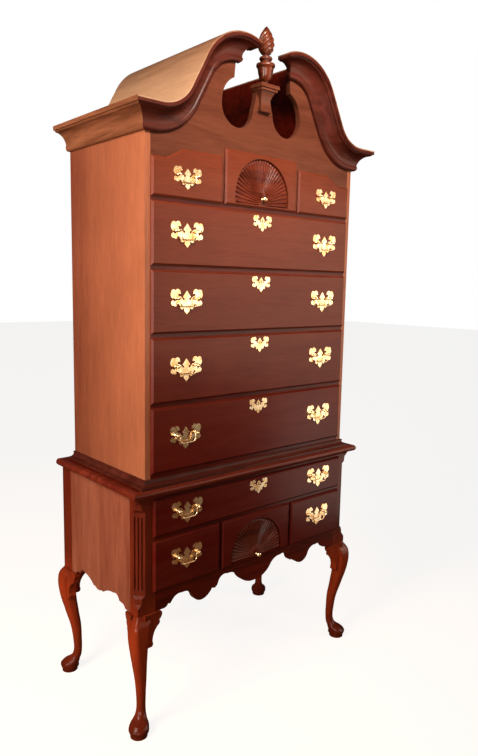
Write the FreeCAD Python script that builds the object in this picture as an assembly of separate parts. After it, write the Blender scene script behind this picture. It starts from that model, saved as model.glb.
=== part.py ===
import FreeCAD, Part
import math
import os

from FreeCAD import Vector

# A bonnet-top highboy: an upper case of seven drawers on a lower case of four drawers and four
# cabriole legs.  Millimetres, +Z up.  Inside this file X = 0 is the middle, Y = 0 is the front
# face of the upper case with +Y towards the wall, and Z = 0 is the floor.  The finished pieces
# are moved along Y so that the origin is the middle of the footprint.

# ---------------------------------------------------------------- driving sizes
# Boards
BOARD = 19.0              # sides, rails, aprons and the scroll board
BACK_PANEL = 6.0
SHEET = 4.0               # bent sheets of the bonnet
TOUCH_GAP = 0.4           # running clearance under and beside a drawer

# Upper case
UPPER_WIDTH = 888.0
UPPER_DEPTH = 442.0
TABLE_TOP = 792.0         # top of the lower case, where the upper case stands
CORNICE_TOP = 1889.0

# Lower case
SIDE_STEP = 34.0          # lower case wider than the upper one, each side
FRONT_STEP = 12.0         # its face before the upper case's
BACK_STEP = 28.0          # its back behind the upper case's
POST_WIDTH = 63.0         # corner posts, seen from the front
FRONT_POST_DEPTH = 42.0
BACK_POST_DEPTH = 60.0
KNEE_TOP = 398.0          # underside of the posts
BACK_RAISED = 10.0        # lower case's back panel above them
APRON_RISE = 40.0         # height of the scallops above the posts' feet
CHAMFER = 28.0            # fluted corners of the front posts
CHAMFER_LOW = 460.0       # full width between these heights
CHAMFER_HIGH = 722.0
CHAMFER_RUN = 40.0        # length of the tongue beyond each end
TONGUE = 0.6              # its width against the chamfer's
TONGUE_LEDGE = 8.0        # slope from the full width down to the tongue
FLUTE_INSET = 18.0        # flutes stop this far inside the full width
FLUTE_RADIUS = 3.6
FLUTE_COUNT = 3

# Drawer fronts
LIP_PROUD = 9.0           # lipped front standing before the case
LIP_EDGE = 4.0            # thickness of the lip at its thumbnail edge
THUMBNAIL = 6.0           # width of the sloped thumbnail moulding
LIP_OVERLAP = 10.0        # lip over the frame all round
FRONT_CORE = 11.0         # part of the front inside the opening
CORE_CLEARANCE = 1.0
ROW_GAP = 13.0            # bare rail between two rows of lips
CENTRE_DRAWER = 312.0     # lip width of the middle drawer in a row of three
SIDE_GAP = 10.0           # between its lip and its neighbours'
DRAWER_SIDE = 12.0
DRAWER_BOTTOM = 6.0
BOX_BELOW_OPENING = 14.0  # drawer sides stop this far below the opening's top
BACK_SPACE = 14.0         # air behind a closed drawer
RUNNER_THICK = 20.0
RUNNER_REACH = 18.0       # bearing of a drawer's edge on its runner
GUIDE_TALL = 24.0         # guide strips between the small drawers

ROW_5_BOTTOM = 832.0      # the upper case's lowest row
LONG_ROWS = (200.0, 195.0, 185.0, 181.0)   # rows 5, 4, 3 and 2, from the bottom up
ROW_1_LOW = 110.0         # outer end of a row 1 side drawer
ROW_1_HIGH = 141.0        # its inner end
ROW_1_CENTRE = 166.0
ROW_7_BOTTOM = 463.0
ROW_7_HEIGHT = 163.0
ROW_6_HEIGHT = 116.0

# Carved shells
SHELL_RADIUS = 117.0
SHELL_FIELD = 7.5         # depth of the sunk field
SHELL_DEPTH = 9.5         # depth of the flutes in it
SHELL_FLUTES = 15
SHELL_FOOT = {1: 9.0, 7: 7.0}       # from the drawer's bottom edge to the shell, by row
SHELL_CENTRE = {1: 36.0, 7: 25.0}   # from the same edge to the shell's centre
KNOB_HEIGHT = {1: 29.0, 7: 15.0}    # from the same edge to the knob
HUB_RADIUS = 15.0

# Mouldings
CORNICE_REACH = 58.0
CORNICE_DROP = 71.0
TABLE_REACH = 24.0
TABLE_THICK = 21.0
TABLE_DROP = 31.0
BASE_REACH = 23.0
BASE_HEIGHT = 26.0

# Swan-neck scrolls, measured on the top edge of the moulding
SCROLL_TURN = 21.0        # from the case's side to where the level cornice starts to rise
SCROLL_LOW_RADIUS = 112.0
SCROLL_SLOPE = 61.5       # steepest slope, degrees
SCROLL_STRAIGHT = 115.6
SCROLL_HIGH_RADIUS = 169.0
SCROLL_OVERRUN = 24.0     # degrees swept past the crest, before the end is shaped
SCROLL_END = 60.0         # inner end of the moulding, from the middle
SCROLL_END_LIFT = 0.8     # the end's fillet above the moulding's
TIP_IN = 3.5              # board's corner under the moulding's end, from the upper arc's centre
TIP_UP = 98.0
CUSP_OUT = 0.5            # point between scroll and round cut-out, from the same centre
CUSP_UP = 55.0
HOLE_IN = 15.5            # centre of the round cut-out, from the same centre
HOLE_DOWN = 26.0
HOLE_RADIUS = 63.0
NECK_HALF = 31.0          # board left behind the plinth
NECK_TOP = 2003.0
BONNET_INNER = 174.0      # face of the bonnet's upright wall towards the middle
BONNET_WALL = 8.0
SHEET_SETBACK = 1.5       # front edge of the sheet behind the moulding's
CEILING_Z = 1826.0

# Plinth and finial
PLINTH_CAP = 77.0
PLINTH_CAP_PROUD = 34.0
PLINTH_CAP_TALL = 19.0
PLINTH_FOOT = 46.0
PLINTH_FOOT_Z = 1942.0
PLINTH_FOOT_TALL = 15.0
PLINTH_FOOT_PROUD = 14.0
PLINTH_STEP = 4.5         # each step of the cap
FINIAL_HEIGHT = 176.0
FINIAL_RIM = 29.0         # radius of the urn's rim
FLAME_RADIUS = 24.4

# Legs
FOOT_RADIUS = 32.0        # club foot at its widest
FOOT_PAD_RADIUS = 27.0
FOOT_PAD = 12.0           # height of the pad under the foot
FOOT_INSET = 13.0         # foot's centre inside the case's corner, along the diagonal
KNEE_BLOCK_BEYOND = 25.0  # from the post's inner face to the block's tip
KNEE_BLOCK_ROOT = 18.0    # its inner end, hollowed to the leg
KNEE_BLOCK_DROP = 108.0
KNEE_BLOCK_PROUD = 13.0   # before the case at the leg, tapering to the tip
KNEE_BLOCK_FOOT = 7.0     # the same, at its lower end

# Brasses
BOLT_SPACING = 76.0       # centres of a pull's two posts
PLATE_WIDTH = 117.0
PLATE = 2.0
SMALL_PULL = 0.85         # the pulls of row 1 against the others
ESCUTCHEON = 0.68
PIVOT_PROUD = 12.0        # bail pin in front of the plate
PIVOT_RISE = 10.0         # bail pin above the plate's middle
BAIL_RADIUS = 1.9
BAIL_DROP = 25.0
PIN_CLEARANCE = 0.08
POST_BALL = 5.2
SHANK_RADIUS = 2.0
SHANK_CLEARANCE = 0.1
NUT_RADIUS = 5.0
NUT_THICK = 3.0
PULL_INSET = 123.0        # from the end of a long drawer to the middle of its pull
PULL_ABOVE_MIDDLE = 1.0
ESCUTCHEON_DROP = 35.0    # from the drawer's top edge to the escutcheon's middle
KNOB_RADIUS = 9.0
KNOB_SHANK = 14.0         # length of its shank in the drawer front

# ---------------------------------------------------------------- derived places
HALF = UPPER_WIDTH / 2
LOWER_HALF = HALF + SIDE_STEP
LOWER_FRONT = -FRONT_STEP
LOWER_BACK = UPPER_DEPTH + BACK_STEP
INNER_HALF = HALF - BOARD
DRAWER_HALF = INNER_HALF
CENTRE_HALF = CENTRE_DRAWER / 2
SIDE_INNER = CENTRE_HALF + SIDE_GAP
SIDE_DRAWER = DRAWER_HALF - SIDE_INNER
SCROLL_TURN_X = HALF - SCROLL_TURN
PULL_X = DRAWER_HALF - PULL_INSET
OPENING_HALF = DRAWER_HALF - LIP_OVERLAP
CASE_BASE = TABLE_TOP
FOOT_BACK_Y = LOWER_BACK - FOOT_INSET * math.sqrt(0.5)
POST_INNER = LOWER_HALF - POST_WIDTH
UPPER_INSIDE_BACK = UPPER_DEPTH - BACK_PANEL
LOWER_INSIDE_BACK = LOWER_BACK - BACK_PANEL
FRONT_REACH = -CORNICE_REACH
BACK_REACH = FOOT_BACK_Y + FOOT_RADIUS
MIDDLE_Y = (FRONT_REACH + BACK_REACH) / 2


# ---------------------------------------------------------------- plain helpers
def box(x0, x1, y0, y1, z0, z1):
    """A block between six planes."""
    return Part.makeBox(x1 - x0, y1 - y0, z1 - z0, Vector(x0, y0, z0))


def mirrored(shape):
    """The same shape on the other side of the middle plane."""
    return shape.mirror(Vector(0, 0, 0), Vector(1, 0, 0))


def pair(shape):
    """A left and right copy."""
    return [shape, mirrored(shape)]


def in_front(y):
    """Outlines drawn in the plane Y = y: (x, z) to a point."""
    return lambda p: Vector(p[0], y, p[1])


def in_side(x):
    """Outlines drawn in the plane X = x: (y, z) to a point."""
    return lambda p: Vector(x, p[0], p[1])


def in_plan(z):
    """Outlines drawn in the plane Z = z: (x, y) to a point."""
    return lambda p: Vector(p[0], p[1], z)


def wire(place, start, steps, closed=True):
    """Straight runs to a point (a, b), or arcs through one point to another ((a, b), (c, d))."""
    edges = []
    here = place(start)
    for step in steps:
        if isinstance(step[0], tuple):
            end = place(step[1])
            edges.append(Part.Arc(here, place(step[0]), end).toShape())
        else:
            end = place(step)
            edges.append(Part.LineSegment(here, end).toShape())
        here = end
    if closed and here.distanceToPoint(place(start)) > 1e-6:
        edges.append(Part.LineSegment(here, place(start)).toShape())
    return Part.Wire(edges)


def prism(place, start, steps, run):
    """An outline carried along a straight line."""
    return Part.Face(wire(place, start, steps)).extrude(run)


def front_prism(start, steps, y0, y1):
    """An outline of the front view carried from y0 to y1."""
    return prism(in_front(y0), start, steps, Vector(0, y1 - y0, 0))


def turned(place, profile, axis, foot):
    """A round piece about an axis through the origin, then moved to its foot."""
    outline = Part.Wire(wire(place, profile[0], profile[1:]).toNurbs().Edges)
    solid = Part.Solid(Part.Face(outline).revolve(Vector(0, 0, 0), axis, 360))
    solid.translate(foot)
    return solid


def turned_upward(profile, foot):
    """A round piece about Z: profile of (radius, height) with arcs as in wire()."""
    return turned(in_front(0), profile, Vector(0, 0, 1), foot)


def turned_forward(profile, foot):
    """A round piece about -Y: profile of (radius, distance in front of foot)."""
    return turned(lambda p: Vector(p[0], -p[1], 0), profile, Vector(0, 1, 0), foot)


def group(pieces):
    """Separate solids kept side by side in one node."""
    solids = []
    for piece in pieces:
        solids.extend(piece.Solids)
    return Part.makeCompound(solids)


def save(name, shape):
    """Write one node, moved so that the origin is the middle of the footprint."""
    kept = shape.copy()
    kept.translate(Vector(0, -MIDDLE_Y, 0))
    kept.exportStep("parts/" + name + ".step")


# ---------------------------------------------------------------- mouldings
def cornice_profile(lowered=0.0):
    """Fillet, ovolo, cove and bead, as (reach, drop) from the wall's top edge."""
    at = lambda reach, drop: (CORNICE_REACH * reach, CORNICE_DROP * drop)
    return (0.0, lowered), [
        (CORNICE_REACH, lowered),
        at(1.0, 0.183),
        at(0.914, 0.183),
        (at(0.862, 0.24), at(0.741, 0.26)),
        (at(0.414, 0.437), at(0.241, 0.76)),
        (at(0.267, 0.887), at(0.155, 1.0)),
        at(0.0, 1.0),
    ]


def table_profile():
    """Cove under a thumbnail nose, as (reach, drop) from the table's top."""
    nose = TABLE_THICK / 2
    cove = TABLE_DROP - TABLE_THICK
    return (0.0, 0.0), [
        (TABLE_REACH * 0.71, 0.0),
        ((TABLE_REACH, nose), (TABLE_REACH * 0.79, TABLE_THICK)),
        (TABLE_REACH * 0.625, TABLE_THICK),
        ((TABLE_REACH * 0.21, TABLE_THICK + cove * 0.3), (0.0, TABLE_DROP)),
    ]


def base_profile():
    """Fillet, cove and bead round the upper case's foot, as (reach, drop) from its top."""
    at = lambda reach, drop: (BASE_REACH * reach, BASE_HEIGHT * drop)
    return (0.0, 0.0), [
        at(0.174, 0.0),
        (at(0.304, 0.115), at(0.217, 0.23)),
        (at(0.435, 0.54), at(0.913, 0.654)),
        at(1.0, 0.654),
        at(1.0, 1.0),
        at(0.0, 1.0),
    ]


def mitred_frame(profile, half, front, back, top, reach):
    """A moulding along the front and both sides of a case, mitred at the front corners."""
    start, steps = profile
    far = reach + 5.0
    low, high = top - 200.0, top + 50.0

    along_front = lambda p: Vector(-half - far, front - p[0], top - p[1])
    run = prism(along_front, start, steps, Vector(2 * (half + far), 0, 0))
    trapezoid = [(-half - far, front - far), (half + far, front - far), (half, front)]
    front_piece = run.common(prism(in_plan(low), (-half, front), trapezoid, Vector(0, 0, high - low)))

    along_side = lambda p: Vector(-half - p[0], front - far, top - p[1])
    run = prism(along_side, start, steps, Vector(0, back - front + far, 0))
    corner = [(-half - far, front - far), (-half - far, back), (-half, back)]
    side_piece = run.common(prism(in_plan(low), (-half, front), corner, Vector(0, 0, high - low)))
    return [front_piece] + pair(side_piece)


def scroll_centre():
    """Centre of the scroll's upper arc."""
    slope = math.radians(SCROLL_SLOPE)
    x = SCROLL_TURN_X - SCROLL_LOW_RADIUS * math.sin(slope) - SCROLL_STRAIGHT * math.cos(slope)
    z = CORNICE_TOP + SCROLL_LOW_RADIUS * (1 - math.cos(slope)) + SCROLL_STRAIGHT * math.sin(slope)
    return x - SCROLL_HIGH_RADIUS * math.sin(slope), z - SCROLL_HIGH_RADIUS * math.cos(slope)


def low_arc(angle, inset):
    """Point on the scroll's lower arc, inset below the moulding's top edge."""
    turn = math.radians(angle)
    radius = SCROLL_LOW_RADIUS + inset
    height = CORNICE_TOP + SCROLL_LOW_RADIUS - radius * math.cos(turn)
    return SCROLL_TURN_X - radius * math.sin(turn), height


def high_arc(angle, inset):
    """Point on the scroll's upper arc, at an angle from its crest."""
    turn = math.radians(angle)
    radius = SCROLL_HIGH_RADIUS - inset
    x, z = scroll_centre()
    return x + radius * math.sin(turn), z + radius * math.cos(turn)


def scroll_steps(inset, last_angle):
    """The swan-neck line from the level cornice to an angle on the upper arc."""
    middle = (SCROLL_SLOPE + last_angle) / 2
    return [
        (low_arc(SCROLL_SLOPE / 2, inset), low_arc(SCROLL_SLOPE, inset)),
        high_arc(SCROLL_SLOPE, inset),
        (high_arc(middle, inset), high_arc(last_angle, inset)),
    ]


def from_scroll_centre(out, up):
    """A point given from the centre of the scroll's upper arc."""
    x, z = scroll_centre()
    return x + out, z + up


def under_scroll(x, drop):
    """The point at x that lies a drop below the top of the scroll's upper arc."""
    middle, z = scroll_centre()
    return x, z + math.sqrt((SCROLL_HIGH_RADIUS - drop) ** 2 - (x - middle) ** 2)


def beyond_scroll_end(y0, y1):
    """Everything past the scroll's inner end, which returns to the board in the cornice's own profile."""
    place = lambda p: under_scroll(SCROLL_END + CORNICE_REACH - p[0], p[1] - SCROLL_END_LIFT)
    steps = cornice_profile()[1]
    outline = [(place(step[0]), place(step[1])) if isinstance(step[0], tuple) else place(step)
               for step in steps[1:-1]]
    top = place(steps[0])[1] + CORNICE_DROP
    low = place(steps[-2][1])
    foot = (low[0], low[1] - CORNICE_DROP)
    return front_prism((SCROLL_END, top), outline + [foot, (-HALF, foot[1]), (-HALF, top)], y0, y1)


def scroll_moulding():
    """The right swan-neck, swept along the scroll, mitred at the corner and cut at its end."""
    start, steps = cornice_profile(SHEET)
    outer = HALF + CORNICE_REACH + 5.0
    run = [(SCROLL_TURN_X, CORNICE_TOP)] + scroll_steps(0, -45.0)
    path = wire(in_front(0), (outer, CORNICE_TOP), run, closed=False)
    profile = wire(lambda p: Vector(outer, -p[0], CORNICE_TOP - p[1]), start, steps)
    sweep = Part.Wire(path.Edges).makePipeShell([profile], True, False)
    far = CORNICE_REACH + 5.0
    mitre = prism(in_plan(CORNICE_TOP - CORNICE_DROP - 1), (0, 0), [(HALF, 0), (HALF + far, -far), (0, -far)],
                  Vector(0, 0, HALF))
    away = beyond_scroll_end(-far - 5, 5)
    return sweep.common(mitre).cut(away)


def cornice_return():
    """The right end of the cornice, running back to the wall."""
    start, steps = cornice_profile()
    far = CORNICE_REACH + 5.0
    place = lambda p: Vector(HALF + p[0], -far, CORNICE_TOP - p[1])
    run = prism(place, start, steps, Vector(0, UPPER_DEPTH + far, 0))
    corner = [(HALF + far, -far), (HALF + far, UPPER_DEPTH), (HALF, UPPER_DEPTH)]
    keep = prism(in_plan(CORNICE_TOP - CORNICE_DROP - 1), (HALF, 0), corner, Vector(0, 0, CORNICE_DROP + 2))
    return run.common(keep)


# ---------------------------------------------------------------- drawer outlines
def plain_outline(x0, x1, z0, z1):
    """A rectangular drawer front; the inset is positive inwards."""
    def outline(inset):
        left, right, low, high = x0 + inset, x1 - inset, z0 + inset, z1 - inset
        return (left, low), [(right, low), (right, high), (left, high)]
    return outline


def ogee_outline(z0):
    """The right side drawer of row 1, whose top rises in an ogee to its inner end."""
    inner = SIDE_INNER

    def outline(inset):
        low = z0 + inset
        outer_top = z0 + ROW_1_LOW - inset
        inner_top = z0 + ROW_1_HIGH - inset
        peak = inner + SIDE_DRAWER * 0.57
        toe = inner + SIDE_DRAWER * 0.80
        middle = (peak + toe) / 2
        half_rise = (inner_top - outer_top) / 2
        return (inner + inset, low), [
            (DRAWER_HALF - inset, low),
            (DRAWER_HALF - inset, outer_top),
            (toe, outer_top),
            ((middle + 14.0, outer_top + half_rise * 0.5), (peak, inner_top)),
            (inner + inset, inner_top),
        ]
    return outline


def row_heights():
    """Bottom and top of every row of lips, by row number."""
    rows = {}
    low = ROW_5_BOTTOM
    for number, height in zip((5, 4, 3, 2), LONG_ROWS):
        rows[number] = (low, low + height)
        low += height + ROW_GAP
    rows[1] = (low, low + ROW_1_CENTRE)
    rows[7] = (ROW_7_BOTTOM, ROW_7_BOTTOM + ROW_7_HEIGHT)
    row_6 = ROW_7_BOTTOM + ROW_7_HEIGHT + ROW_GAP
    rows[6] = (row_6, row_6 + ROW_6_HEIGHT)
    return rows


ROWS = row_heights()


def all_drawers():
    """Every drawer: name, row, outline of its lip, the box's top, and whether a shell is carved on it."""
    drawers = []
    low, high = ROWS[1]
    drawers.append(("row1_left", 1, None, low + ROW_1_LOW, False))
    drawers.append(("row1_centre", 1, plain_outline(-CENTRE_HALF, CENTRE_HALF, low, high), high, True))
    drawers.append(("row1_right", 1, ogee_outline(low), low + ROW_1_LOW, False))
    for row in (2, 3, 4, 5, 6):
        low, high = ROWS[row]
        drawers.append(("row%d" % row, row, plain_outline(-DRAWER_HALF, DRAWER_HALF, low, high), high, False))
    low, high = ROWS[7]
    drawers.append(("row7_left", 7, None, high, False))
    drawers.append(("row7_centre", 7, plain_outline(-CENTRE_HALF, CENTRE_HALF, low, high), high, True))
    drawers.append(("row7_right", 7, plain_outline(SIDE_INNER, DRAWER_HALF, low, high), high, False))
    return drawers


def drawer_span(name):
    """Left and right lip edges of a drawer."""
    if name.endswith("centre"):
        return -CENTRE_HALF, CENTRE_HALF
    if name.endswith("right"):
        return SIDE_INNER, DRAWER_HALF
    return -DRAWER_HALF, DRAWER_HALF


# ---------------------------------------------------------------- drawers
def shell_cutter(face_y, row):
    """The carved fan: a round sunk field with flutes spreading from its centre, round a plain hub."""
    low = ROWS[row][0]
    hub_z = low + SHELL_CENTRE[row]
    foot_z = low + SHELL_FOOT[row]
    half = math.sqrt(SHELL_RADIUS ** 2 - (hub_z - foot_z) ** 2)
    field = front_prism((-half, foot_z), [((0, hub_z + SHELL_RADIUS), (half, foot_z))],
                        face_y - 1.0, face_y + SHELL_FIELD)
    hub = front_prism((-HUB_RADIUS, foot_z), [(HUB_RADIUS, foot_z), (HUB_RADIUS, hub_z),
                      ((0, hub_z + HUB_RADIUS), (-HUB_RADIUS, hub_z))],
                      face_y - 2.0, face_y + 2 * SHELL_DEPTH)
    fan = field
    step = 180.0 / SHELL_FLUTES
    half_step = math.radians(step / 2)
    end_radius = SHELL_RADIUS * math.sin(half_step) * 0.82
    length = SHELL_RADIUS * 0.95
    axis_y = face_y + SHELL_DEPTH - end_radius
    for index in range(SHELL_FLUTES):
        angle = math.radians(step * (index + 0.5))
        along = Vector(math.cos(angle), 0, math.sin(angle))
        flute = Part.makeCone(end_radius / 10, end_radius, length, Vector(0, axis_y, hub_z), along)
        fan = fan.fuse(flute)
    keep = box(-SHELL_RADIUS, SHELL_RADIUS, face_y - 1.0, face_y + 2 * SHELL_DEPTH, foot_z,
               foot_z + 2 * SHELL_RADIUS)
    return fan.common(keep).cut(hub)


def drawer_wood(row, outline, span, top, shell):
    """Front, two sides, back and bottom of one drawer, as separate solids."""
    upper = row <= 5
    case_face = 0.0 if upper else LOWER_FRONT
    inside_back = UPPER_INSIDE_BACK if upper else LOWER_INSIDE_BACK
    face = case_face - LIP_PROUD
    low = ROWS[row][0]
    core_inset = LIP_OVERLAP + CORE_CLEARANCE

    start, steps = outline(0.0)
    lip = front_prism(start, steps, case_face - LIP_EDGE, case_face)
    bevel = Part.makeLoft([wire(in_front(case_face - LIP_EDGE), *outline(0.0)),
                           wire(in_front(face), *outline(THUMBNAIL))], True, True)
    start, steps = outline(core_inset)
    core = front_prism(start, steps, case_face, case_face + FRONT_CORE)
    front = lip.fuse([bevel, core]).removeSplitter()
    if shell:
        front = front.cut(shell_cutter(face, row))

    left = span[0] + core_inset
    right = span[1] - core_inset
    y0 = case_face + FRONT_CORE
    y1 = inside_back - BACK_SPACE
    z0 = low + core_inset
    z1 = top - LIP_OVERLAP - BOX_BELOW_OPENING
    sides = [box(left, left + DRAWER_SIDE, y0, y1, z0, z1), box(right - DRAWER_SIDE, right, y0, y1, z0, z1)]
    back = box(left + DRAWER_SIDE, right - DRAWER_SIDE, y1 - DRAWER_SIDE, y1, z0, z1)
    bottom = box(left + DRAWER_SIDE, right - DRAWER_SIDE, y0, y1 - DRAWER_SIDE, z0, z0 + DRAWER_BOTTOM)
    return front, sides + [back, bottom]


# ---------------------------------------------------------------- brasses
def plate_outline(k):
    """Half of a willow plate, from its crest to its pendant, then mirrored; k scales it."""
    right = [
        (14.6, 14.0), (8.0, 10.0), ((10.5, 5.0), (14.5, 5.5)),
        ((18.0, 11.0), (24.0, 16.0)), ((29.0, 16.5), (33.0, 20.0)), ((28.5, 24.0), (24.0, 22.0)),
        ((25.0, 32.0), (33.0, 38.0)), ((38.5, 36.5), (42.0, 33.0)), ((51.0, 36.0), (57.5, 28.0)),
        ((58.5, 17.0), (49.0, 8.0)), ((45.0, 11.0), (41.0, 8.0)), ((42.0, 2.0), (47.0, 0.0)),
        ((50.0, 4.0), (54.0, 2.0)), ((57.5, -6.0), (48.0, -11.0)), ((41.0, -13.5), (36.0, -11.5)),
        ((34.0, -6.0), (31.0, -6.0)), ((27.5, -9.0), (24.5, -14.5)), ((20.0, -22.0), (15.5, -22.0)),
        ((12.5, -19.5), (9.0, -20.0)), ((9.5, -24.0), (10.5, -26.0)), ((6.0, -31.0), (0.0, -37.0)),
    ]
    full = PLATE_WIDTH / 117.0 * k
    scale = lambda p, side: (side * p[0] * full, p[1] * full)
    steps = []
    for step in right:
        if isinstance(step[0], tuple):
            steps.append((scale(step[0], 1), scale(step[1], 1)))
        else:
            steps.append(scale(step, 1))
    points = [(0.0, 33.0)] + [step[1] if isinstance(step[0], tuple) else step for step in right]
    for index in range(len(right) - 1, -1, -1):
        step = right[index]
        back_to = scale(points[index], -1)
        if isinstance(step[0], tuple):
            steps.append((scale(step[0], -1), back_to))
        else:
            steps.append(back_to)
    return scale((0.0, 33.0), 1), steps


def plate(x, z, face, k):
    """One pierced-edge plate lying on a drawer front."""
    start, steps = plate_outline(k)
    shape = front_prism(start, steps, face - PLATE, face)
    shape.translate(Vector(x, 0, z))
    return shape


def post_bolt(x, z, face, behind, k, inward):
    """A turned post with its bail socket, its shank through the front and the nut on it."""
    ball = POST_BALL * k
    stem = 3.2 * k
    collar = 6.3 * k
    out = PLATE + PIVOT_PROUD * k
    top_angle = math.asin(stem / ball)
    ball_foot = out - ball * math.cos(top_angle)
    nut_face = -(behind - face)
    profile = [
        (0.0, nut_face - NUT_THICK - 1.5),
        (SHANK_RADIUS, nut_face - NUT_THICK - 1.5), (SHANK_RADIUS, nut_face - NUT_THICK),
        (NUT_RADIUS, nut_face - NUT_THICK), (NUT_RADIUS, nut_face), (SHANK_RADIUS, nut_face),
        (SHANK_RADIUS, PLATE), (collar, PLATE), ((collar * 0.8, PLATE + 1.6 * k), (stem, PLATE + 2.6 * k)),
        (stem, ball_foot), ((ball, out), (0.0, out + ball)),
    ]
    post = turned_forward(profile, Vector(x, face, z))
    hole_radius = BAIL_RADIUS * k + PIN_CLEARANCE
    hole = Part.makeCylinder(hole_radius, ball - 0.5 * k, Vector(x + inward * ball, face - out, z),
                             Vector(-inward, 0, 0))
    return post.cut(hole)


def bail(x, z, face, k):
    """A swan-neck bail: two pins, two legs and a level grip, one round rod bent on tangent arcs."""
    pin_end = (BOLT_SPACING / 2 - 1.5) * k
    bend = 3.5 * k
    pin_start = (BOLT_SPACING / 2 - 5.7) * k
    leg = pin_start - bend
    corner = 11.0 * k
    drop = BAIL_DROP * k
    quarter = math.sqrt(0.5)
    steps = [
        (pin_start, 0.0),
        ((pin_start - bend * quarter, -bend + bend * quarter), (leg, -bend)),
        (leg, corner - drop),
        ((leg - corner + corner * quarter, corner - drop - corner * quarter), (leg - corner, -drop)),
        (corner - leg, -drop),
        ((corner - leg - corner * quarter, corner - drop - corner * quarter), (-leg, corner - drop)),
        (-leg, -bend),
        ((bend * quarter - pin_start, -bend + bend * quarter), (-pin_start, 0.0)),
        (-pin_end, 0.0),
    ]
    y = face - PLATE - PIVOT_PROUD * k
    path = wire(in_front(y), (pin_end, 0.0), steps, closed=False)
    circle = Part.Wire(Part.makeCircle(BAIL_RADIUS * k, Vector(pin_end, y, 0), Vector(1, 0, 0)))
    rod = path.makePipeShell([circle], True, False)
    rod.translate(Vector(x, 0, z))
    return rod


def escutcheon(x, z, face):
    """A keyhole plate of the same pattern."""
    blank = plate(x, z, face, ESCUTCHEON)
    eye = Part.makeCylinder(2.6, PLATE + 2, Vector(x, face + 1, z + 11.0), Vector(0, -1, 0))
    slot = front_prism((x - 1.4, z + 11.0), [(x + 1.4, z + 11.0), (x + 2.2, z + 2.0), (x - 2.2, z + 2.0)],
                       face - PLATE - 1, face + 1)
    return blank.cut(eye).cut(slot)


def knob(z, face):
    """A small turned knob on a shank that stops inside the drawer front."""
    profile = [
        (0.0, -KNOB_SHANK), (SHANK_RADIUS, -KNOB_SHANK), (SHANK_RADIUS, 0.0), (KNOB_RADIUS * 0.75, 0.0),
        ((KNOB_RADIUS * 0.5, 2.5), (KNOB_RADIUS * 0.4, 6.0)),
        ((KNOB_RADIUS * 0.6, 9.0), (KNOB_RADIUS, 12.0)), ((KNOB_RADIUS * 0.8, 16.0), (0.0, 18.0)),
    ]
    return turned_forward(profile, Vector(0, face, z))


def shank_hole(x, z, face, behind):
    """The hole that a bolt needs through plate and front."""
    radius = SHANK_RADIUS + SHANK_CLEARANCE
    start = Vector(x, face - PLATE - 1, z)
    return Part.makeCylinder(radius, behind - face + PLATE + 2, start, Vector(0, 1, 0))


def pull_places(name, row):
    """Where the pulls sit on a drawer: (left or right, x, z, size)."""
    low, high = ROWS[row]
    if name.endswith("centre"):
        return []
    if row == 1:
        z = low + ROW_1_LOW / 2 + 3.0
        return [(name.split("_")[1], PULL_X if name.endswith("right") else -PULL_X, z, SMALL_PULL)]
    z = (low + high) / 2 + PULL_ABOVE_MIDDLE
    if row == 7:
        z = (low + high) / 2 + 4.0
        return [(name.split("_")[1], PULL_X if name.endswith("right") else -PULL_X, z, 1.0)]
    return [("left", -PULL_X, z, 1.0), ("right", PULL_X, z, 1.0)]


def make_drawer(name, row, outline, top, shell):
    """One drawer with its brasses and its hanging bails."""
    case_face = 0.0 if row <= 5 else LOWER_FRONT
    face = case_face - LIP_PROUD
    behind = case_face + FRONT_CORE
    low, high = ROWS[row]
    if outline is None:
        other = [d for d in all_drawers() if d[0] == name.replace("left", "right")][0]
        front, rest = drawer_wood(row, other[2], drawer_span(other[0]), top, shell)
        front = mirrored(front)
        rest = [mirrored(piece) for piece in rest]
    else:
        front, rest = drawer_wood(row, outline, drawer_span(name), top, shell)

    brasses = []
    for side, x, z, k in pull_places(name, row):
        blank = plate(x, z, face, k)
        pivot_z = z + PIVOT_RISE * k
        for direction in (-1, 1):
            bolt_x = x + direction * BOLT_SPACING / 2 * k
            hole = shank_hole(bolt_x, pivot_z, face, behind)
            blank = blank.cut(hole)
            front = front.cut(hole)
            brasses.append(post_bolt(bolt_x, pivot_z, face, behind, k, -direction))
        brasses.append(blank)
        bail_name = "bail_" + name if name.endswith(side) else "bail_" + name + "_" + side
        save(bail_name, group([bail(x, pivot_z, face, k)]))
    if row in (2, 3, 4, 5, 6):
        brasses.append(escutcheon(0.0, high - ESCUTCHEON_DROP, face))
    if shell:
        knob_z = low + KNOB_HEIGHT[row]
        front = front.cut(shank_hole(0.0, knob_z, face, face + KNOB_SHANK))
        brasses.append(knob(knob_z, face))
    save("drawer_" + name, group([front] + rest))
    save("brasses_" + name, group(brasses))


# ---------------------------------------------------------------- legs
# Height, centre along the outward diagonal from the case's corner, and half the diagonal
LEG_SECTIONS = (
    (KNEE_TOP, -34.0, 33.0), (385.0, -24.0, 34.5), (372.0, -16.0, 35.5), (352.0, -10.0, 34.0),
    (335.0, -8.0, 32.5), (318.0, -8.7, 31.5), (303.0, -9.8, 30.0), (288.0, -11.5, 28.5),
    (272.0, -14.3, 27.0), (256.0, -18.0, 25.5), (240.0, -22.0, 24.0), (222.0, -26.0, 22.5),
    (204.0, -30.5, 21.0), (184.0, -35.5, 19.5), (164.0, -39.0, 18.0), (145.0, -41.0, 16.8),
    (125.0, -42.5, 15.7), (105.0, -43.8, 15.0), (88.0, -44.0, 14.5), (72.0, -42.5, 15.0),
    (60.0, -39.0, 16.8), (50.0, -32.0, 20.5), (42.0, -23.5, 26.0), (35.0, -18.0, 30.0),
    (27.0, -FOOT_INSET, FOOT_RADIUS), (19.0, -FOOT_INSET, FOOT_RADIUS),
    (FOOT_PAD, -FOOT_INSET, FOOT_RADIUS - 2.5),
)


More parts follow.
